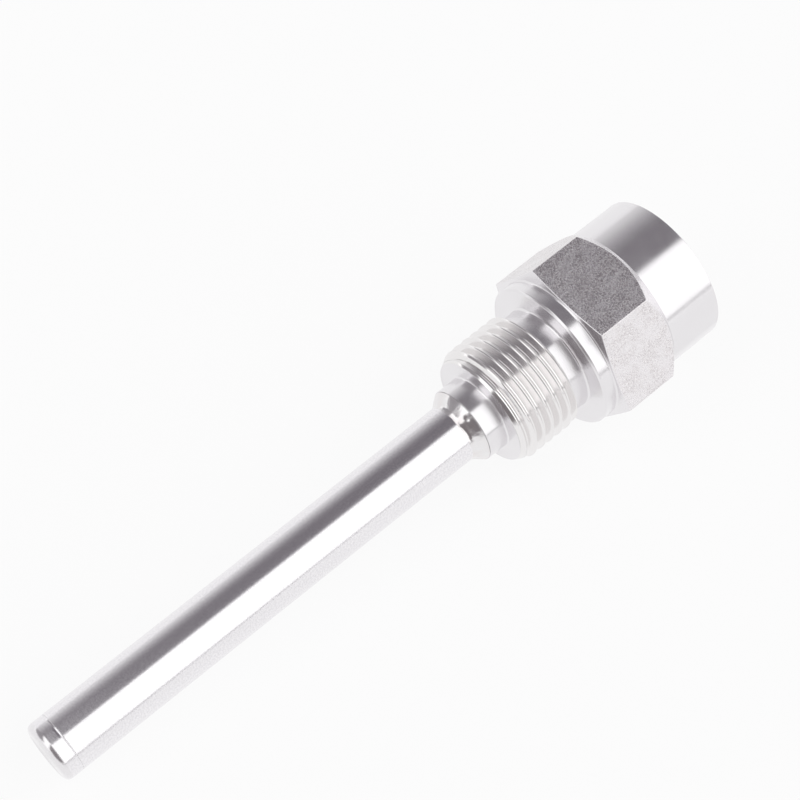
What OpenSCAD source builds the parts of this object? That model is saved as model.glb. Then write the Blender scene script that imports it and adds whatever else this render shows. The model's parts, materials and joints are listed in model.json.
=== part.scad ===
// Screw-in thermowell. A head turned from hexagon bar carries a G 1/2 stud below its
// sealing face and a threaded socket above it. A thin tube is welded into the head's
// neck, and a cap closes the tube's tip. The sensor slides in through the socket.
//
// The well lies on its side, as it comes to rest: on one flat of the hexagon and on
// the tip. Its own axis is built along +Z with the sealing face at 0, then laid down.

/* [Tube] */
// Length from the sealing face to the tip
insertion_len = 100; // [60:5:250]
// Outer diameter of the tube
tube_od = 10; // [8:0.5:12]
// Wall of the tube
tube_wall = 0.75; // [0.5:0.05:1.5]

/* [Tip cap] */
// Thickness of the cap that closes the tube
cap_len = 3; // [2:0.5:6]
// Rounding of the cap's outer edge
cap_round = 1; // [0.3:0.1:1.5]

/* [Neck] */
// Length of the neck, from the thread's start face to the weld
neck_len = 3.7; // [2:0.1:8]
// Wall of the neck around the tube
neck_wall = 1.5; // [1:0.1:2]
// Fillet between the neck and the thread's start face
neck_fillet = 1; // [0.4:0.1:1.2]
// Depth of the socket that the tube is pushed into
tube_seat_depth = 10; // [6:0.5:12]
// Clearance between the tube and its socket, on the radius
tube_seat_gap = 0.05; // [0.02:0.01:0.15]

/* [Neck weld] */
// Length of the weld bead along the tube
weld_len = 2.4; // [1.5:0.1:3]
// How far the bead stays inside the neck's edge
weld_inset = 0.05; // [0.02:0.01:0.3]
// Height of the bead's full-width rim, where it meets the neck
weld_rim = 0.4; // [0.2:0.05:0.8]

/* [Process thread] */
// Major diameter of the stud's thread, G 1/2
stud_thread_d = 20.955; // [20.5:0.005:24]
// Pitch of both threads, 14 to the inch
thread_pitch = 1.8143; // [1:0.0001:2]
// Length of the stud, from the sealing face to the thread's start face
stud_len = 14.8; // [13:0.1:24]
// Length of the chamfer at the thread's start, along the axis
stud_chamfer_len = 2; // [1:0.1:3]
// Width of the undercut below the sealing face
undercut_w = 3; // [2:0.1:5]
// How far the undercut's floor lies below the thread's root
undercut_extra = 0.1; // [0.05:0.05:0.5]
// Fillet between the undercut and the sealing face
undercut_fillet = 0.4; // [0.2:0.1:0.8]

/* [Collar] */
// Diameter of the collar that carries the sealing face
collar_d = 26; // [25:0.1:26.6]
// Height of the collar
collar_h = 2.5; // [1.5:0.1:6]

/* [Hexagon] */
// Width of the hexagon across its flats
hex_af = 27; // [26.8:0.1:32]
// Height of the hexagon, with its chamfers
hex_h = 12.5; // [8:0.5:20]
// Width of the hexagon's round face on the collar's side
hex_face_d = 26.6; // [26.6:0.1:26.8]
// Slope of the shallow chamfer on the collar's side, in degrees
hex_face_slope = 9; // [4:1:20]
// Slope of the chamfer on the boss's side, in degrees
hex_top_slope = 45; // [30:1:50]

/* [Boss] */
// Diameter of the boss
boss_d = 26; // [25:0.1:26.6]
// Height of the boss above the hexagon
boss_h = 10; // [6:0.5:20]
// Chamfer on the turned outer edges
edge_chamfer = 0.3; // [0.1:0.05:0.6]

/* [Socket for the sensor] */
// Major diameter of the socket's thread, G 1/2
socket_thread_d = 20.955; // [19:0.005:22]
// Depth of the socket's threaded hole
socket_depth = 16; // [10:0.5:18]
// How far the mouth's chamfer is wider than the thread, on the radius
mouth_relief = 0.15; // [0.05:0.05:0.4]
// Point angle of the drill that left the cone below the thread, in degrees
drill_angle = 118; // [90:2:140]

/* [Hidden] */
$fn = 96;
past = 1; // how far a cut runs past the face that it opens

tube_r = tube_od / 2;
bore_r = tube_r - tube_wall;
neck_r = tube_r + tube_seat_gap + neck_wall;

// Whitworth form: a sixth of the pitch is flat at crest and root, a third is each flank
thread_flat = thread_pitch / 6;
thread_flank = thread_pitch / 3;
thread_depth = thread_flank / tan(55 / 2);
stud_r = stud_thread_d / 2;
root_r = stud_r - thread_depth;
undercut_r = root_r - undercut_extra;
socket_r = socket_thread_d / 2;
socket_root_r = socket_r - thread_depth;
mouth_r = socket_r + mouth_relief;

// Places along the well's own axis
tip_z = -insertion_len;
tube_end_z = tip_z + cap_len;
neck_z = -stud_len - neck_len;
tube_top_z = neck_z + tube_seat_depth;
hex_top_z = collar_h + hex_h;
head_top_z = hex_top_z + boss_h;
socket_floor_z = head_top_z - socket_depth;
drill_cone_h = (socket_root_r - bore_r) / tan(drill_angle / 2);

// A hexagon's corner radius, and where its chamfers start there
hex_corner_r = hex_af / 2 / cos(30);
hex_face_r = hex_face_d / 2;
boss_r = boss_d / 2;
hex_face_rise = (hex_corner_r - hex_face_r) * tan(hex_face_slope);
hex_top_fall = (hex_corner_r - boss_r) * tan(hex_top_slope);

// The angle at which it lies: one line touches the rounded tip and the near edge of a flat
flat_r = hex_af / 2;
flat_edge_z = collar_h + max(0, flat_r - hex_face_r) * tan(hex_face_slope);
cap_centre_z = tip_z + cap_round;
cap_centre_r = tube_r - cap_round;
rest_span = flat_edge_z - cap_centre_z;
rest_drop = flat_r - cap_centre_r;
rest_tilt = atan2(rest_drop, rest_span) - asin(cap_round / norm([rest_span, rest_drop]));

// The box of the well as it lies, so that the origin is the centre of its foot
floor_z = flat_edge_z * sin(rest_tilt) - flat_r * cos(rest_tilt);
left_x = cap_centre_z * cos(rest_tilt) - cap_centre_r * sin(rest_tilt) - cap_round;
right_x = max(
    head_top_z * cos(rest_tilt) + (boss_r - edge_chamfer) * sin(rest_tilt),
    (head_top_z - edge_chamfer) * cos(rest_tilt) + boss_r * sin(rest_tilt));

// Lays the upright well down: its axis ends up in the XZ plane, head towards +X,
// with one flat of the hexagon underneath
module lie_down() {
    translate([-(left_x + right_x) / 2, 0, -floor_z])
        rotate([0, 90 - rest_tilt, 0])
            children();
}

// The stud's thread in section, as one ridge and groove for each pitch, which runs
// from the undercut down past the start face; the envelope cuts its lead-in chamfer
module thread_section() {
    turns = ceil((stud_len - undercut_w) / thread_pitch) + 1;
    ridges = [for (turn = [0 : turns - 1])
        let (top = -undercut_w - turn * thread_pitch)
        each [
            [root_r, top],
            [stud_r, top - thread_flank],
            [stud_r, top - thread_flank - thread_flat],
            [root_r, top - 2 * thread_flank - thread_flat]]];
    bottom_z = -undercut_w - turns * thread_pitch;
    intersection() {
        polygon(concat([[0, -undercut_w]], ridges, [[root_r, bottom_z], [0, bottom_z]]));
        polygon([
            [0, -stud_len], [root_r, -stud_len], [stud_r + past, -stud_len
                + stud_chamfer_len * (stud_r + past - root_r) / (stud_r - root_r)],
            [stud_r + past, 0], [0, 0]]);
    }
}

// Neck and undercut in section, with their fillets
module neck_section() {
    translate([0, neck_z]) square([neck_r, neck_len + past]);
    difference() {
        translate([neck_r, -stud_len - neck_fillet]) square(neck_fillet);
        translate([neck_r + neck_fillet, -stud_len - neck_fillet]) circle(neck_fillet);
    }
    translate([0, -undercut_w - past]) square([undercut_r, undercut_w + 2 * past]);
    difference() {
        translate([undercut_r, -undercut_fillet]) square(undercut_fillet);
        translate([undercut_r + undercut_fillet, -undercut_fillet]) circle(undercut_fillet);
    }
}

// A turned disc in section from low_z to high_z, with both outer edges chamfered
module disc_section(radius, low_z, high_z, low_chamfer, high_chamfer) {
    polygon([
        [0, low_z], [radius - low_chamfer, low_z], [radius, low_z + low_chamfer],
        [radius, high_z - high_chamfer], [radius - high_chamfer, high_z], [0, high_z]]);
}

// The hexagon, with a shallow cone below and a steeper one above that runs into the boss
module hexagon() {
    intersection() {
        translate([0, 0, collar_h])
            rotate(30) cylinder(r = hex_corner_r, h = hex_h, $fn = 6);
        rotate_extrude()
            polygon([
                [0, collar_h], [hex_face_r, collar_h],
                [hex_corner_r, collar_h + hex_face_rise],
                [hex_corner_r + past, collar_h + hex_face_rise],
                [hex_corner_r + past, hex_top_z - hex_top_fall],
                [hex_corner_r, hex_top_z - hex_top_fall],
                [boss_r, hex_top_z], [0, hex_top_z]]);
    }
}

// All that is bored into the head: the tube's socket, the way through, the cone that
// the drill leaves, the threaded hole and its chamfered mouth
module head_bores() {
    translate([0, 0, neck_z - past])
        cylinder(r = tube_r + tube_seat_gap, h = tube_seat_depth + past);
    translate([0, 0, tube_top_z - past])
        cylinder(r = bore_r, h = socket_floor_z - tube_top_z + past);
    translate([0, 0, socket_floor_z - drill_cone_h])
        cylinder(r1 = bore_r, r2 = socket_root_r, h = drill_cone_h);
    translate([0, 0, socket_floor_z])
        cylinder(r = socket_root_r, h = socket_depth + past);
    translate([0, 0, head_top_z - (mouth_r - socket_root_r)])
        cylinder(r1 = socket_root_r, r2 = mouth_r + past, h = mouth_r - socket_root_r + past);
}

// The head, turned in one piece: neck, threaded stud, collar, hexagon and boss
module head_fitting() {
    color([0.77, 0.77, 0.78])
    lie_down()
    difference() {
        union() {
            rotate_extrude() thread_section();
            rotate_extrude() neck_section();
            rotate_extrude()
                disc_section(collar_d / 2, 0, collar_h + past, edge_chamfer, 0);
            hexagon();
            rotate_extrude()
                disc_section(boss_r, hex_top_z - past, head_top_z, 0, edge_chamfer);
        }
        head_bores();
    }
}

// The drawn tube, from its seat inside the neck to the cap
module protection_tube() {
    color([0.82, 0.82, 0.83])
    lie_down()
    translate([0, 0, tube_end_z])
    difference() {
        cylinder(r = tube_r, h = tube_top_z - tube_end_z);
        translate([0, 0, -past])
            cylinder(r = bore_r, h = tube_top_z - tube_end_z + 2 * past);
    }
}

// The fillet weld around the tube, which fills the corner against the neck's end
module neck_weld() {
    color([0.86, 0.84, 0.82])
    lie_down()
    rotate_extrude()
        polygon([
            [tube_r, neck_z - weld_len], [neck_r - weld_inset, neck_z - weld_rim],
            [neck_r - weld_inset, neck_z], [tube_r, neck_z]]);
}

// The solid cap, welded flush on the tube's open end, with a rounded edge
module tip_cap() {
    color([0.80, 0.80, 0.81])
    lie_down()
    rotate_extrude() {
        translate([0, tip_z]) square([cap_centre_r, cap_len]);
        translate([0, cap_centre_z]) square([tube_r, cap_len - cap_round]);
        intersection() {
            translate([cap_centre_r, cap_centre_z]) circle(cap_round);
            translate([0, tip_z]) square([tube_r, cap_len]);
        }
    }
}

head_fitting();
protection_tube();
neck_weld();
tip_cap();
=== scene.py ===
"""A screw-in thermowell of stainless steel, lying as it comes to rest on a white table."""
import json
import math

import bmesh
import bpy
import numpy as np
from mathutils import Matrix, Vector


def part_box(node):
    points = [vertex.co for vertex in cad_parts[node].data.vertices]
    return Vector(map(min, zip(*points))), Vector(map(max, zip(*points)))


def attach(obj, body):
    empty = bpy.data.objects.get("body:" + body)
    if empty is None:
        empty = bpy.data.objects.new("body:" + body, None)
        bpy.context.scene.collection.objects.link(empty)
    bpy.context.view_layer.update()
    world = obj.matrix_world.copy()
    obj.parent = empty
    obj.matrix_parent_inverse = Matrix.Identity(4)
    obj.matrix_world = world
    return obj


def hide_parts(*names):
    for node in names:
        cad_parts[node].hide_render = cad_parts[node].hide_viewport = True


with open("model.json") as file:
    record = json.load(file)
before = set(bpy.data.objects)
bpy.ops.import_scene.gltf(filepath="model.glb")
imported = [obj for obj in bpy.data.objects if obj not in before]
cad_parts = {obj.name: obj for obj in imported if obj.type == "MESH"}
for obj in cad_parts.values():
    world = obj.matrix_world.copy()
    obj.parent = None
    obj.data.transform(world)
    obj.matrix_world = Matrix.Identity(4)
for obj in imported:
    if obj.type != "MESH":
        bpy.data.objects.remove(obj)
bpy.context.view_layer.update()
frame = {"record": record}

# ------------------------------------------------------------------ head fitting
# The head is turned in one piece from hexagon bar: a short neck for the tube, a stud
# with a right-hand G 1/2 thread and its undercut, the collar with the sealing face,
# what is left of the hexagon, and a round boss with a threaded socket for the sensor.

# The well's own axis, from the tip to the head, and two directions across it: down
# towards the table, and over to the far side
mounts = {mount["name"]: mount for mount in frame["record"]["mounts"]}
axis = np.array(mounts["sensor_thread"]["axis"])
under = np.array([axis[2], 0, -axis[0]])
across = np.array([0, 1, 0])

# The centre of the sealing face, on that axis
bore_middle = np.array(mounts["probe_bore"]["pos_m"])
sealing_point = np.array(mounts["sealing_face"]["pos_m"])
head_point = np.array(mounts["head_face"]["pos_m"])
seal_centre = bore_middle + axis * ((sealing_point - bore_middle) @ axis)

# The head's own lengths, walls and clearances in millimetres, and its cones' angles
neck_len = 3.7
neck_wall = 1.5
tube_seat_depth = 10
tube_seat_gap = 0.05
stud_len = 14.8
lead_in = 2.0
undercut_w = 3.0
undercut_extra = 0.1
collar_edge = 0.3
hex_h = 12.5
hex_face_slope = math.radians(9)
socket_depth = 16
mouth_relief = 0.15
drill_angle = math.radians(118)

# The Whitworth form of both threads, 14 to the inch: crest and root are flat for a sixth
# of the pitch, and the flanks between them stand 55 degrees apart. Straight below the
# axis, one groove of the stud has its middle at the phase's distance from the undercut
pitch = 1.8143
flank = pitch / 3
thread_depth = flank / math.tan(math.radians(55 / 2))
stud_phase = 0.76

# Heights are in millimetres from the sealing face, towards the head
head_top = (head_point - seal_centre) @ axis * 1000
stud_start = -stud_len
neck_end = stud_start - neck_len
tube_seat = neck_end + tube_seat_depth
undercut_start = -undercut_w
collar_top = 2.5
hex_top = collar_top + hex_h
socket_floor = head_top - socket_depth

# Radii are in millimetres
stud_r = mounts["process_thread"]["dims"]["r_mm"]
socket_root_r = mounts["sensor_thread"]["dims"]["r_mm"]
bore_r = mounts["probe_bore"]["dims"]["r_mm"]
tube_r = 5.0
seat_r = tube_r + tube_seat_gap
neck_r = seat_r + neck_wall
root_r = stud_r - thread_depth
undercut_r = root_r - undercut_extra
collar_r = boss_r = 13.0
hex_face_r = 13.3
flat_r = 13.5
mouth_r = socket_root_r + thread_depth + mouth_relief

# Columns of every turned piece: one each 2 degrees, and closer at the hexagon's corners
hex_corners = np.radians(np.arange(30, 360, 60))
near_corner = np.radians([0.25, 0.6, 1.1])
turn = np.unique(np.round(np.concatenate(
    [np.linspace(0, 2 * math.pi, 181)]
    + [corner + side * near_corner for corner in hex_corners for side in (-1, 1)]), 9))


def eased(corners, steps=5, around=turn):
    """Rings of a turned profile with rounded corners, as radius and height arrays.

    A corner is (radius, height, ease), each a number or one value for each column.
    The two sides are cut at the ease from the corner, and joined by a rational
    quadratic curve whose weight is the cosine of half the turn: an exact arc."""
    grid = [[np.broadcast_to(value, around.shape) for value in corner] for corner in corners]
    radius, height, ease = np.array(grid, dtype=float).transpose(1, 0, 2)
    point = np.stack([radius, height], axis=-1)
    side = np.diff(point, axis=0)
    length = np.maximum(np.linalg.norm(side, axis=-1, keepdims=True), 1e-9)
    heading = side / length
    rings = [point[:1]]
    along = np.linspace(0, 1, steps)[:, None, None]
    for k in range(1, len(corners) - 1):
        cut = np.minimum(ease[k][:, None], 0.49 * np.minimum(length[k - 1], length[k]))
        weight = np.sqrt((1 + (heading[k - 1] * heading[k]).sum(-1, keepdims=True)) / 2)
        first, middle, last = (1 - along) ** 2, 2 * weight * along * (1 - along), along ** 2
        arc = (first * (point[k] - heading[k - 1] * cut) + middle * point[k]
               + last * (point[k] + heading[k] * cut)) / (first + middle + last)
        rings.append(arc if ease[k].max() > 0 else point[k:k + 1])
    rings.append(point[-1:])
    return np.concatenate(rings).transpose(2, 0, 1)


def screwed(low, high, start, inner_r, outer_r, crest_ease, root_ease, trim, steps):
    """Rings of a right-hand thread between two heights, as radius and height arrays.

    One pitch of the profile is half a root flat, a flank, a crest flat, a flank and
    half a root flat. Each ring climbs one pitch in a full turn and is held between low
    and high; its radius is the profile's at that height and turn, cut by trim."""
    flat = pitch / 6
    shape = [
        (inner_r, 0, 0), (inner_r, flat / 2, root_ease),
        (outer_r, flat / 2 + flank, crest_ease),
        (outer_r, 1.5 * flat + flank, crest_ease),
        (inner_r, 1.5 * flat + 2 * flank, root_ease), (inner_r, pitch, 0)]
    radius, height = (part[:, 0] for part in eased(shape, steps))
    fine = np.unique(np.concatenate([height[:-1], np.linspace(0, pitch, 7)[:-1]]))
    turns = np.arange(math.floor((low - start) / pitch) - 1, math.ceil((high - start) / pitch))
    climb = pitch * turn / (2 * math.pi)
    ring_z = start + (turns[:, None] * pitch + fine).ravel()[:, None] + climb
    ring_z = np.clip(ring_z, low, high)
    ring_r = np.interp((ring_z - start - climb) % pitch, height, radius)
    return np.stack([trim(ring_r, ring_z), ring_z])


def smooth_by_area(mesh):
    """Smooth shading in which a vertex's normal is the mean of its faces' normals,
    weighted by their areas, so that flat faces stay flat up to their rounded edges."""
    mesh.polygons.foreach_set("use_smooth", np.ones(len(mesh.polygons), dtype=bool))
    vertex = np.empty(len(mesh.loops), dtype=np.int32)
    normal = np.empty(len(mesh.polygons) * 3)
    area = np.empty(len(mesh.polygons))
    corners = np.empty(len(mesh.polygons), dtype=np.int32)
    mesh.loops.foreach_get("vertex_index", vertex)
    mesh.polygons.foreach_get("normal", normal)
    mesh.polygons.foreach_get("area", area)
    mesh.polygons.foreach_get("loop_total", corners)
    smooth = np.zeros((len(mesh.vertices), 3))
    np.add.at(smooth, vertex, np.repeat(normal.reshape(-1, 3) * area[:, None], corners, axis=0))
    smooth /= np.maximum(np.linalg.norm(smooth, axis=1, keepdims=True), 1e-20)
    mesh.normals_split_custom_set_from_vertices(smooth)


def turned_mesh(name, segments, closed=True, around=turn):
    """A mesh of rings around the well's axis, with its finishes and a UV map.

    Each segment is (radius, height, slot), and the slot is that of the faces from each
    of its rings to the next. A ring's point is the sealing face's centre plus height
    along the axis and radius times the cosine and sine of the turn along the two
    directions across it. U is the turn in full turns, V the length along the profile
    in millimetres. A closed profile runs on from its last ring to its first."""
    radius = np.concatenate([segment[0] for segment in segments])
    height = np.concatenate([segment[1] for segment in segments])
    slots = np.concatenate([np.full(len(segment[0]), segment[2]) for segment in segments])
    rows, columns = radius.shape
    place = (seal_centre + (
        (radius * np.cos(around))[..., None] * under
        + (radius * np.sin(around))[..., None] * across
        + height[..., None] * axis) / 1000)
    row = np.arange(rows if closed else rows - 1)[:, None]
    column = np.arange(columns - 1)[None, :]
    above = (row + 1) % rows
    quads = np.stack([row * columns + column, row * columns + column + 1,
                      above * columns + column + 1, above * columns + column], axis=-1)
    run = np.hypot(np.diff(radius, axis=0, prepend=radius[:1]),
                   np.diff(height, axis=0, prepend=height[:1])).cumsum(axis=0)
    u = np.broadcast_to(around / (2 * math.pi), radius.shape)
    uv = np.stack([u, run], axis=-1).reshape(-1, 2)

    mesh = bpy.data.meshes.new(name)
    mesh.from_pydata(place.reshape(-1, 3), [], quads.reshape(-1, 4).tolist())
    mesh.polygons.foreach_set("material_index", np.repeat(slots[row[:, 0]], columns - 1))
    mesh.uv_layers.new(name="turning").data.foreach_set("uv", uv[quads.ravel()].ravel())

    joined = bmesh.new()
    joined.from_mesh(mesh)
    bmesh.ops.remove_doubles(joined, verts=joined.verts, dist=1e-6)
    joined.to_mesh(mesh)
    joined.free()
    smooth_by_area(mesh)
    return mesh


def put_in_scene(name, mesh, materials, slot, *nodes):
    """Makes a piece of a mesh and its finishes, and lets it stand for its CAD nodes."""
    piece = bpy.data.objects.new(name, mesh)
    bpy.context.scene.collection.objects.link(piece)
    for material in materials:
        mesh.materials.append(material)
    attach(piece, "root")
    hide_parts(*nodes)


def linear(hex_code):
    """An sRGB hex colour as a linear RGBA value."""
    part = np.array([int(hex_code[i:i + 2], 16) for i in (1, 3, 5)]) / 255
    part = np.where(part <= 0.04045, part / 12.92, ((part + 0.055) / 1.055) ** 2.4)
    return (*part.tolist(), 1.0)


def add(tree, kind, inputs=None, **settings):
    """Adds a node with its settings; an input is a value or another node's output.

    A Mix node's sockets share their names, so they go by number: 0 is its factor, 2 and
    3 are the values it mixes, 6 and 7 the colours, and output 2 is the mixed colour."""
    made = tree.nodes.new(kind)
    for key, value in settings.items():
        setattr(made, key, value)
    for key, value in (inputs or {}).items():
        if isinstance(value, bpy.types.NodeSocket):
            tree.links.new(value, made.inputs[key])
        else:
            made.inputs[key].default_value = value
    return made


def new_finish(name):
    """An empty material, its node tree and its texture coordinates."""
    material = bpy.data.materials.new(name)
    material.use_nodes = True
    material.node_tree.nodes.clear()
    return material, material.node_tree, add(material.node_tree, "ShaderNodeTexCoord")


def turned_stainless():
    """Stainless steel, finely turned: the tool's feed leaves close rings around the
    axis, which spread reflections along the well and keep them sharp around it."""
    material, tree, where = new_finish("turned stainless steel")
    tangent = add(tree, "ShaderNodeTangent", direction_type="UV_MAP", uv_map="turning")
    # Feed marks 0.12 mm apart would be too fine to show, so they are drawn 0.3 mm apart
    feed = add(tree, "ShaderNodeMapping", {"Vector": where.outputs["UV"], "Scale": (1.5, 3.3, 0)})
    rings = add(tree, "ShaderNodeTexNoise", {
        "Vector": feed.outputs["Vector"], "Scale": 1.0, "Detail": 3.0, "Roughness": 0.6})
    marks = add(tree, "ShaderNodeBump", {
        "Strength": 0.25, "Distance": 2e-6, "Height": rings.outputs["Fac"]})
    # Handling leaves some places 4 mm across a little duller than others
    wear = add(tree, "ShaderNodeTexNoise", {
        "Vector": where.outputs["Object"], "Scale": 260.0, "Detail": 3.0, "Roughness": 0.6})
    polish = add(tree, "ShaderNodeMapRange", {
        "Value": wear.outputs["Fac"], "From Min": 0.3, "From Max": 0.7,
        "To Min": 0.21, "To Max": 0.26})
    steel = add(tree, "ShaderNodeBsdfPrincipled", {
        "Base Color": linear("#eceaec"), "Metallic": 1.0, "Roughness": polish.outputs["Result"],
        "Anisotropic": 0.7, "Anisotropic Rotation": 0.25,
        "Tangent": tangent.outputs["Tangent"], "Normal": marks.outputs["Normal"]})
    add(tree, "ShaderNodeOutputMaterial", {"Surface": steel.outputs["BSDF"]})
    return material


def cut_thread():
    """Stainless steel, thread-cut in several passes: the tool leaves crests and flanks
    bright, with light tearing drawn out along the cut."""
    material, tree, where = new_finish("cut stainless thread")
    tangent = add(tree, "ShaderNodeTangent", direction_type="UV_MAP", uv_map="turning")
    # Tearing about 0.15 mm wide, drawn out around the thread
    cut = add(tree, "ShaderNodeMapping", {"Vector": where.outputs["UV"], "Scale": (6, 7, 0)})
    tearing = add(tree, "ShaderNodeTexNoise", {
        "Vector": cut.outputs["Vector"], "Scale": 1.0, "Detail": 4.0, "Roughness": 0.65})
    marks = add(tree, "ShaderNodeBump", {
        "Strength": 0.5, "Distance": 4e-6, "Height": tearing.outputs["Fac"]})
    steel = add(tree, "ShaderNodeBsdfPrincipled", {
        "Base Color": linear("#efeded"), "Metallic": 1.0, "Roughness": 0.17,
        "Anisotropic": 0.6, "Anisotropic Rotation": 0.25,
        "Tangent": tangent.outputs["Tangent"], "Normal": marks.outputs["Normal"]})
    add(tree, "ShaderNodeOutputMaterial", {"Surface": steel.outputs["BSDF"]})
    return material


def bar_flats():
    """Cold-drawn and pickled hexagon bar, as it was bought: a dull satin face with
    fine pits, faint lines from the die and softer blotches."""
    material, tree, where = new_finish("drawn stainless bar flats")
    # Pits 0.25 mm across, coarser than real ones so that they show
    grain = add(tree, "ShaderNodeTexNoise", {
        "Vector": where.outputs["Object"], "Scale": 3800.0, "Detail": 4.0, "Roughness": 0.8})
    # Lines of the drawing die 0.6 mm apart and 6 mm long, and blotches of 2.4 mm
    along = add(tree, "ShaderNodeMapping", {
        "Vector": where.outputs["UV"], "Scale": (140, 0.16, 0)})
    lines = add(tree, "ShaderNodeTexNoise", {
        "Vector": along.outputs["Vector"], "Scale": 1.0, "Detail": 3.0, "Roughness": 0.6})
    blotch = add(tree, "ShaderNodeTexNoise", {
        "Vector": where.outputs["Object"], "Scale": 420.0, "Detail": 4.0, "Roughness": 0.6})
    wear = add(tree, "ShaderNodeMix", {
        0: 0.5, 2: lines.outputs["Fac"], 3: blotch.outputs["Fac"]})
    pitted = add(tree, "ShaderNodeMapRange", {
        "Value": grain.outputs["Fac"], "From Min": 0.42, "From Max": 0.6,
        "To Min": 0.2, "To Max": 0.4})
    satin = add(tree, "ShaderNodeMapRange", {
        "Value": wear.outputs["Result"], "From Min": 0.35, "From Max": 0.65,
        "To Min": -0.04, "To Max": 0.04})
    dullness = add(tree, "ShaderNodeMath", {
        0: pitted.outputs["Result"], 1: satin.outputs["Result"]}, operation="ADD")
    speckle = add(tree, "ShaderNodeValToRGB", {"Fac": grain.outputs["Fac"]})
    speckle.color_ramp.elements[0].position = 0.4
    speckle.color_ramp.elements[0].color = linear("#d4cfd1")
    speckle.color_ramp.elements[1].position = 0.58
    speckle.color_ramp.elements[1].color = linear("#f5f2f3")
    # Handling has rubbed the grain bright in soft patches
    rubbed = add(tree, "ShaderNodeMapRange", {
        "Value": blotch.outputs["Fac"], "From Min": 0.46, "From Max": 0.58,
        "To Min": 0.0, "To Max": 0.7})
    colour = add(tree, "ShaderNodeMix", {
        0: rubbed.outputs["Result"], 6: speckle.outputs["Color"], 7: linear("#efecee")},
        data_type="RGBA")
    bumps = add(tree, "ShaderNodeBump", {
        "Strength": 1.0, "Distance": 4.2e-5, "Height": grain.outputs["Fac"]})
    steel = add(tree, "ShaderNodeBsdfPrincipled", {
        "Base Color": colour.outputs[2], "Metallic": 1.0,
        "Roughness": dullness.outputs["Value"], "Normal": bumps.outputs["Normal"]})
    add(tree, "ShaderNodeOutputMaterial", {"Surface": steel.outputs["BSDF"]})
    return material


def hexagon_radius(corner_round=0.15):
    """Distance from the axis to a hexagon with rounded corners, for each column.

    On a flat it is the flat's distance over the cosine of the angle from the flat's
    middle; near a corner it is where the column's ray leaves the corner's circle."""
    off_corner = (turn + math.pi / 6) % (math.pi / 3)
    off_corner = np.minimum(off_corner, math.pi / 3 - off_corner)
    half = math.pi / 6
    centre = (flat_r - corner_round) / math.cos(half)
    ends_at = math.atan2(corner_round * math.sin(half), centre + corner_round * math.cos(half))
    on_flat = flat_r / np.cos(half - off_corner)
    inside = np.maximum(corner_round ** 2 - (centre * np.sin(off_corner)) ** 2, 0)
    on_corner = centre * np.cos(off_corner) + np.sqrt(inside)
    return np.where(off_corner < ends_at, on_corner, on_flat)


def stud_ends(radius, height):
    """Cuts the stud's thread back to two cones: the lead-in chamfer below, from the root
    to the full radius, and above a run-out one flank long, down to the undercut."""
    chamfer = root_r + (height - stud_start) / lead_in * (stud_r - root_r)
    runout = undercut_r + (undercut_start - height) / flank * (stud_r - undercut_r)
    return np.minimum(radius, np.minimum(chamfer, runout))


def socket_ends(radius, height):
    """Fades the socket's thread in along a 45 degree cone from one pitch above the
    socket's floor, and widens it to the 45 degree chamfer at the mouth."""
    fade = socket_root_r + np.maximum(height - socket_floor - pitch, 0)
    return np.maximum(np.minimum(radius, fade), mouth_r - (head_top - height))


hex_r = hexagon_radius()
# The hexagon's corners end in a shallow cone at the collar and a 45 degree one at the boss
hex_low = collar_top + (hex_r - hex_face_r) * math.tan(hex_face_slope)
hex_high = hex_top - (hex_r - boss_r)
drill_cone = (socket_root_r - bore_r) / math.tan(drill_angle / 2)

# The head's outline from the neck's end to the mouth, then back through the bores. Its
# finishes are numbered as its materials are, and rings 26 and 27 of the body bound the flats
TURNED, THREAD, FLATS = 0, 1, 2
neck = eased([
    (seat_r, neck_end, 0), (neck_r, neck_end, 0.05), (neck_r, stud_start, 0.3),
    (root_r, stud_start, 0)], 9)
stud = screwed(
    stud_start, undercut_start, undercut_start - stud_phase, root_r, stud_r,
    crest_ease=0.15, root_ease=0.15, trim=stud_ends, steps=5)
body = eased([
    (undercut_r, undercut_start, 0), (undercut_r, undercut_start + 0.05, 0),
    (undercut_r, 0, 0.4), (collar_r - collar_edge, 0, 0.06),
    (collar_r, collar_edge, 0.06), (collar_r, collar_top, 0.3), (hex_r, hex_low, 0.1),
    (hex_r, hex_high, 0.1), (boss_r, hex_top, 0.08), (boss_r, head_top, 0.15),
    (mouth_r, head_top, 0)])
socket = screwed(
    socket_floor, head_top, socket_floor, socket_root_r, socket_root_r + thread_depth,
    crest_ease=0.12, root_ease=0.05, trim=socket_ends, steps=2)
bores = eased([
    (socket_root_r, socket_floor, 0), (bore_r, socket_floor - drill_cone, 0.1),
    (bore_r, tube_seat, 0), (seat_r, tube_seat, 0), (seat_r, neck_end, 0)])
head_mesh = turned_mesh("head", [
    (*neck, TURNED), (*stud, THREAD),
    (*body[:, :26], TURNED), (*body[:, 26:28], FLATS), (*body[:, 28:], TURNED),
    (*socket[:, ::-1], THREAD), (*bores, TURNED)])
turned_steel = turned_stainless()
put_in_scene("head", head_mesh, [turned_steel, cut_thread(), bar_flats()],
             "turned_steel", "head_fitting")

# ------------------------------------------------------------------ neck weld
# One pass of TIG weld joins the tube to the end of the neck. The bead is smooth and
# shiny, wavy along its toe, with a small crater where the arc was stopped.

weld_len = 2.4
weld_inset = 0.05
weld_toe = neck_end - weld_len
weld_r = neck_r - weld_inset
# The bead is wavy all round, so its columns are closer: one for each degree
weld_turn = np.linspace(0, 2 * math.pi, 361)


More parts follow.
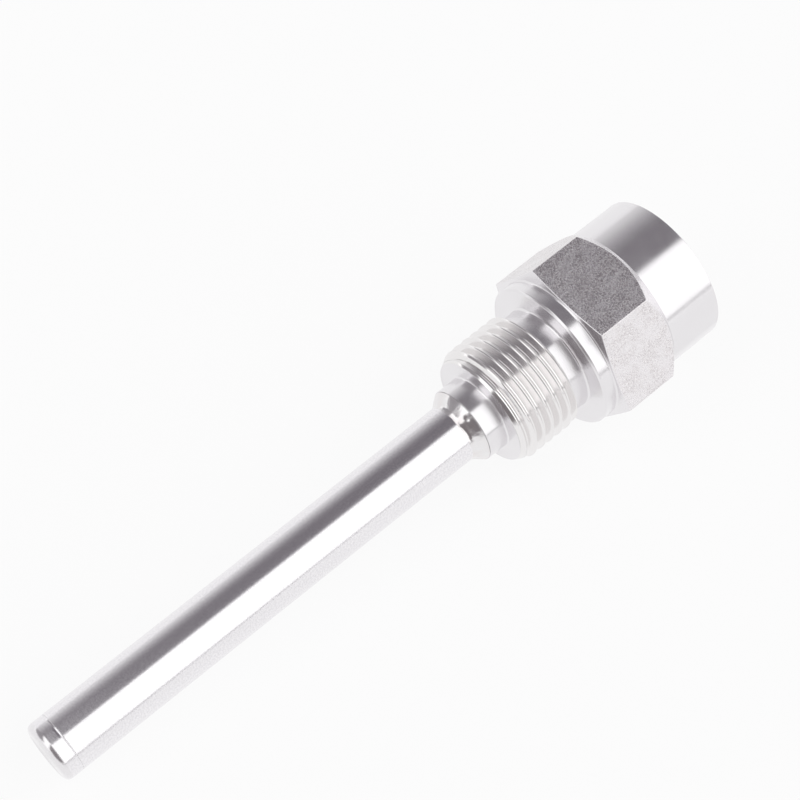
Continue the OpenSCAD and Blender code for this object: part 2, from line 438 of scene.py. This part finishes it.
def waves(seed, count, low, high):
    """A wavy line around the axis, scaled to reach 1: a sum of sines of whole numbers of
    waves, each over the root of its number, with numbers and phases from a seeded die."""
    dice = np.random.default_rng(seed)
    number = dice.integers(low, high, count)[:, None]
    phase = dice.uniform(0, 2 * math.pi, (count, 1))
    line = (np.sin(number * weld_turn + phase) / np.sqrt(number / low)).sum(axis=0)
    return line / np.abs(line).max()


def weld_metal():
    """Stainless weld metal, frozen from the melt: bright, with soft ripples and a
    faint reddish tint where it was hottest."""
    material, tree, where = new_finish("stainless weld metal")
    # Ripples 0.6 mm long, and tinted places 3 mm across
    ripple = add(tree, "ShaderNodeTexNoise", {
        "Vector": where.outputs["Object"], "Scale": 1600.0, "Detail": 2.0, "Roughness": 0.5})
    bumps = add(tree, "ShaderNodeBump", {
        "Strength": 0.5, "Distance": 5e-5, "Height": ripple.outputs["Fac"]})
    heat = add(tree, "ShaderNodeTexNoise", {
        "Vector": where.outputs["Object"], "Scale": 350.0, "Detail": 2.0, "Roughness": 0.5})
    tint = add(tree, "ShaderNodeValToRGB", {"Fac": heat.outputs["Fac"]})
    tint.color_ramp.elements[0].position = 0.35
    tint.color_ramp.elements[0].color = linear("#eeedee")
    tint.color_ramp.elements[1].position = 0.75
    tint.color_ramp.elements[1].color = linear("#ebe6e6")
    steel = add(tree, "ShaderNodeBsdfPrincipled", {
        "Base Color": tint.outputs["Color"], "Metallic": 1.0, "Roughness": 0.2,
        "Normal": bumps.outputs["Normal"]})
    add(tree, "ShaderNodeOutputMaterial", {"Surface": steel.outputs["BSDF"]})
    return material


# The toe and the lip wander along the tube, and the bead between them swells. Its profile
# starts and ends just inside the tube's surface, and is hollow as a fillet weld is
toe = weld_toe - 0.02 + 0.1 * waves(3, 9, 6, 31)
swell = 0.04 * waves(8, 6, 3, 13)
lip = neck_end - 0.06 + 0.03 * waves(5, 6, 9, 29)
rise, reach = weld_r - tube_r, lip - toe
bead_r, bead_z = eased([
    (tube_r - 0.1, toe - 0.02, 0), (tube_r - 0.02, toe, 0), (tube_r - 0.012, toe + 0.04, 0),
    (tube_r + 0.07 * rise + 0.5 * swell, toe + 0.27 * reach, 0.5),
    (tube_r + 0.56 * rise + swell, toe + 0.62 * reach, 0.5),
    (weld_r + 0.5 * swell - 0.03, lip, 0.1), (weld_r - 0.14, neck_end, 0),
    (tube_r - 0.1, neck_end, 0)], 11, weld_turn)


def dent(turn_deg, height, wide, long, deep):
    """A dent's depth on the bead: a bell curve around the axis, with its width in
    degrees, times another along it, with its length in millimetres."""
    turn_off = np.degrees(np.abs((weld_turn - math.radians(turn_deg) + math.pi)
                                 % (2 * math.pi) - math.pi))
    return deep * np.exp(-(turn_off / wide) ** 2 - ((bead_z - height) / long) ** 2)


# The crater is in the bead's outer face only, and leaves the rings against the tube alone
crater = dent(198, neck_end - 0.8, wide=5.0, long=0.3, deep=0.12)
bead_r = bead_r - crater * (bead_r > tube_r + 0.05)
weld_mesh = turned_mesh("weld", [(bead_r, bead_z, 0)], around=weld_turn)
put_in_scene("weld", weld_mesh, [weld_metal()], "weld_metal", "neck_weld")

# ------------------------------------------------------------------ protection tube
# A drawn stainless tube, 10 mm by 0.75 mm, ground on a belt. It is pushed 10 mm deep
# into the neck, where the weld holds it, and ends where the cap starts.

cap_len = 3
cap_middle = (np.mean(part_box("tip_cap"), axis=0) - seal_centre) @ axis * 1000
cap_start = cap_middle + cap_len / 2


def ground_tube():
    """Drawn stainless tube, belt-ground as it spun: a soft satin with short fine lines
    around it, which make the edges of its reflections grainy."""
    material, tree, where = new_finish("ground stainless tube")
    # Lines 0.3 mm wide and 0.4 mm long; real ones are finer than would show
    belt = add(tree, "ShaderNodeMapping", {"Vector": where.outputs["UV"], "Scale": (80, 3.5, 0)})
    grain = add(tree, "ShaderNodeTexNoise", {
        "Vector": belt.outputs["Vector"], "Scale": 1.0, "Detail": 3.0, "Roughness": 0.7})
    speckle = add(tree, "ShaderNodeValToRGB", {"Fac": grain.outputs["Fac"]})
    speckle.color_ramp.elements[0].position = 0.4
    speckle.color_ramp.elements[0].color = linear("#eae8eb")
    speckle.color_ramp.elements[1].position = 0.6
    speckle.color_ramp.elements[1].color = linear("#f5f3f5")
    bumps = add(tree, "ShaderNodeBump", {
        "Strength": 1.0, "Distance": 7e-6, "Height": grain.outputs["Fac"]})
    steel = add(tree, "ShaderNodeBsdfPrincipled", {
        "Base Color": speckle.outputs["Color"], "Metallic": 1.0, "Roughness": 0.19,
        "Normal": bumps.outputs["Normal"]})
    add(tree, "ShaderNodeOutputMaterial", {"Surface": steel.outputs["BSDF"]})
    return material


# Outside the tube has rings along its length, one of them close to each end, and inside none
tube_run = np.concatenate([
    [cap_start], np.linspace(cap_start + 0.05, tube_seat - 0.05, 12), [tube_seat]])
tube_rings = eased([(bore_r, cap_start, 0)] + [(tube_r, height, 0) for height in tube_run]
                   + [(bore_r, tube_seat, 0)])
tube_mesh = turned_mesh("tube", [(*tube_rings, 0)])
ground_steel = ground_tube()
put_in_scene("tube", tube_mesh, [ground_steel], "drawn_tube", "protection_tube")

# ------------------------------------------------------------------ tip cap
# A solid turned disc closes the tube. It is welded flush without filler and ground with
# the tube; its end keeps its turned face, and its outer edge is rounded.

cap_round = 1.0
groove_depth = 0.03
tip = cap_start - cap_len
cap_rings = eased([
    (0, tip, 0), (tube_r - 2.2, tip, 0), (tube_r, tip, cap_round),
    (tube_r, cap_start - 0.5, 0.1), (tube_r - groove_depth, cap_start - 0.25, 0.1),
    (tube_r, cap_start - 0.05, 0), (tube_r, cap_start, 0), (0, cap_start, 0)], 9)
# The faces from its first 10 rings are the end and its rounded edge, which stay as turned
cap_mesh = turned_mesh("cap", [(*cap_rings[:, :10], 0), (*cap_rings[:, 10:], 1)], closed=False)
put_in_scene("cap", cap_mesh, [turned_steel, ground_steel], "turned_steel", "tip_cap")

# ------------------------------------------------------------------ table
# A wide white table top, matt as painted board. To the camera and in the steel it is
# mostly plain white, and the rest of what they see of it keeps the well's shadow.

# Half its width in metres, and the share of it that is plain white
table_half = 10.0
plain_share = 0.9
table_mesh = bpy.data.meshes.new("table")
table_mesh.from_pydata(
    [(x * table_half, y * table_half, 0) for x, y in ((-1, -1), (1, -1), (1, 1), (-1, 1))],
    [], [(0, 1, 2, 3)])
table = bpy.data.objects.new("table", table_mesh)
bpy.context.scene.collection.objects.link(table)
table_finish, tree, _ = new_finish("white table")
paint = add(tree, "ShaderNodeBsdfDiffuse", {"Color": linear("#f9f9fa")})
plain = add(tree, "ShaderNodeEmission", {"Color": linear("#ffffff"), "Strength": 1.0})
seen = add(tree, "ShaderNodeLightPath")
mirrored = add(tree, "ShaderNodeMath", {
    0: seen.outputs["Is Glossy Ray"], 1: seen.outputs["Is Transmission Ray"]}, operation="MAXIMUM")
direct = add(tree, "ShaderNodeMath", {
    0: seen.outputs["Is Camera Ray"], 1: mirrored.outputs["Value"]}, operation="MAXIMUM")
share = add(tree, "ShaderNodeMath", {0: direct.outputs["Value"], 1: plain_share},
            operation="MULTIPLY")
surface = add(tree, "ShaderNodeMixShader", {
    0: share.outputs["Value"], 1: paint.outputs["BSDF"], 2: plain.outputs["Emission"]})
add(tree, "ShaderNodeOutputMaterial", {"Surface": surface.outputs["Shader"]})
table_mesh.materials.append(table_finish)

# ------------------------------------------------------------------ light
# An even white tent around the table, with soft-edged dark cards hung in it. Polished
# steel shows only what is around it, and the cards give it its dark bands.

world = bpy.data.worlds.new("light tent")
bpy.context.scene.world = world
world.use_nodes = True
tree = world.node_tree
tree.nodes.clear()
gaze = add(tree, "ShaderNodeTexCoord").outputs["Generated"]
up = add(tree, "ShaderNodeVectorMath", {0: gaze, 1: (-under).tolist()}, operation="DOT_PRODUCT")
near = add(tree, "ShaderNodeVectorMath", {0: gaze, 1: (-across).tolist()},
           operation="DOT_PRODUCT")
tipward = add(tree, "ShaderNodeVectorMath", {0: gaze, 1: (-axis).tolist()},
              operation="DOT_PRODUCT")
around = add(tree, "ShaderNodeMath", {0: near.outputs["Value"], 1: up.outputs["Value"]},
             operation="ARCTAN2")
degrees = add(tree, "ShaderNodeMath", {0: around.outputs["Value"], 1: 180 / math.pi},
              operation="MULTIPLY")


def hang_card(tent, far_rim, near_rim, head_rim, tip_rim, colour):
    """The tent with one more card in it. Each rim is where its soft edge starts and
    ends: far and near in degrees around the well from straight above towards the near
    wall, head and tip as the cosine of the angle to the tip's direction."""
    shade = None
    for place, (start, end) in ((degrees, far_rim), (degrees, near_rim[::-1]),
                                (tipward, head_rim), (tipward, tip_rim[::-1])):
        rim = add(tree, "ShaderNodeMapRange", {
            "Value": place.outputs["Value"], "From Min": start, "From Max": end},
            interpolation_type="SMOOTHSTEP").outputs["Result"]
        shade = rim if shade is None else add(
            tree, "ShaderNodeMath", {0: shade, 1: rim}, operation="MULTIPLY").outputs["Value"]
    mixed = add(tree, "ShaderNodeMix", {0: shade, 6: tent, 7: linear(colour)}, data_type="RGBA")
    return mixed.outputs[2]


# Each card's far, near, head and tip rims, and its colour
cards = [
    # Over the head, fading out towards the far side
    ((-125, -28), (4.5, 8), (-0.89, -0.69), (-0.08, 0.03), "#6a666b"),
    # Behind the head's end, past a narrow white gap
    ((-125, -28), (4.5, 8), (-1.2, -1.1), (-0.97, -0.91), "#6a666b"),
    # Over the tube, one on the near side and one on the far side
    ((2, 6), (80, 87), (0.1, 0.2), (0.93, 0.99), "#716c6e"),
    ((-84, -77), (-37, -33), (-0.1, 0.0), (0.8, 0.95), "#8a878a"),
    # Low on the near side, just above the table
    ((84.5, 85.5), (88.5, 90), (-0.8, -0.6), (0.6, 0.8), "#8a888a")]
lit = linear("#ffffff")
for card in cards:
    lit = hang_card(lit, *card)
studio = add(tree, "ShaderNodeBackground", {"Color": lit, "Strength": 1.3})
add(tree, "ShaderNodeOutputWorld", {"Surface": studio.outputs["Background"]})

# ------------------------------------------------------------------ camera
# A 100 mm lens looks down on the well from the tip's side, turned a little, so that
# the well runs up to the right.

camera_data = bpy.data.cameras.new("camera")
camera_data.sensor_width = 36
camera_data.lens = 100.6
camera_data.clip_start = 0.01
camera = bpy.data.objects.new("camera", camera_data)
bpy.context.scene.collection.objects.link(camera)
bpy.context.scene.camera = camera
view_azimuth, view_elevation, view_roll = np.radians([-46.63, 58.06, 6.05])
view_distance = 0.348
# It looks at a point in metres from the sealing face: along the well, across and below
aim = seal_centre - 0.02404 * axis + 0.00845 * across - 0.00352 * under
toward_camera = np.array([
    math.cos(view_elevation) * math.sin(view_azimuth),
    -math.cos(view_elevation) * math.cos(view_azimuth), math.sin(view_elevation)])
level = np.array([math.cos(view_azimuth), math.sin(view_azimuth), 0])
upright = np.cross(toward_camera, level)
right = level * math.cos(view_roll) + upright * math.sin(view_roll)
top = np.cross(toward_camera, right)
pose = np.eye(4)
pose[:3, :3] = np.stack([right, top, toward_camera], axis=1)
pose[:3, 3] = aim + view_distance * toward_camera
camera.matrix_world = Matrix(pose)

bpy.context.scene.view_settings.view_transform = "Standard"
